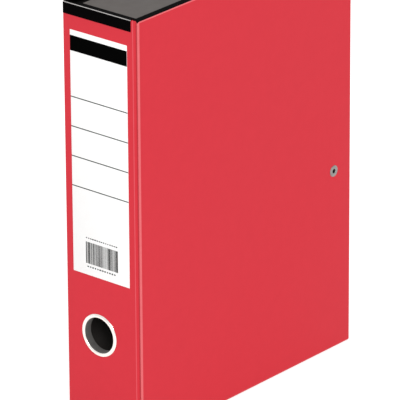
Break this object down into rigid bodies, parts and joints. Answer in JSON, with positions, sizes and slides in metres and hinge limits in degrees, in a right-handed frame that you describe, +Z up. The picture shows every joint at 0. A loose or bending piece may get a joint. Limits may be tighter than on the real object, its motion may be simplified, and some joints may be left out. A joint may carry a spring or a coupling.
{
  "type": "box file",
  "caption": "Upright box file for foolscap papers: a hinged board case round an open tray, with a finger ring, a spine label, a press-button catch and a wire spring clip.",
  "frame": {"origin": "under the middle of the file, on the surface it stands on", "axes": "+Z up along the spine, the spine faces -Y, the lid faces +X, the fore edge faces +Y"},
  "size_m": [0.081, 0.2713, 0.366],
  "materials": {
    "red_paper": "satin",
    "binding_cloth": "satin",
    "tray_paper": "matte",
    "label_paper": "matte",
    "index_paper": "matte",
    "nickel_plate": "gloss",
    "spring_steel": "satin"
  },
  "bodies": {
    "case": {"back_board": "red_paper", "spine_board": "red_paper", "hinge_strip": "red_paper", "tray": "tray_paper", "tray_lining": "tray_paper", "head_binding": "binding_cloth", "tail_binding": "binding_cloth", "spine_label": "label_paper", "finger_ring": "nickel_plate", "finger_ring_washer": "nickel_plate", "lock_case": "spring_steel", "lock_rivet_1": "nickel_plate", "lock_rivet_2": "nickel_plate", "lock_escutcheon": "nickel_plate", "lock_spring": "spring_steel", "clip_base": "nickel_plate", "clip_rivet_1": "nickel_plate", "clip_rivet_2": "nickel_plate", "clip_pin": "spring_steel", "clip_spring_1": "spring_steel", "clip_spring_2": "spring_steel"},
    "lid": {"lid_board": "red_paper", "hinge_lining": "binding_cloth", "index_sheet": "index_paper", "lid_catch": "nickel_plate", "lid_eyelet": "nickel_plate"},
    "button": {"lock_button": "nickel_plate"},
    "clip": {"clip_arm": "nickel_plate"}
  },
  "joints": [
    {"name": "lid_hinge", "type": "hinge", "parent": "case", "child": "lid", "pos_m": [0.0359, -0.1355, 0.183], "axis": [0, 0, -1], "range_deg": [0, 180]},
    {"name": "button_press", "type": "slide", "parent": "case", "child": "button", "axis": [0, -1, 0], "range_m": [0, 0.002], "stiffness_N_per_m": 400, "springref_m": -0.0015, "deforming": ["lock_spring"]},
    {"name": "clip_swing", "type": "hinge", "parent": "case", "child": "clip", "pos_m": [-0.0286, -0.1055, 0.183], "axis": [0, 0, -1], "range_deg": [0, 90], "stiffness_Nm_per_rad": 0.15, "springref_deg": -57.3, "deforming": ["clip_spring_1", "clip_spring_2"]}
  ]
}
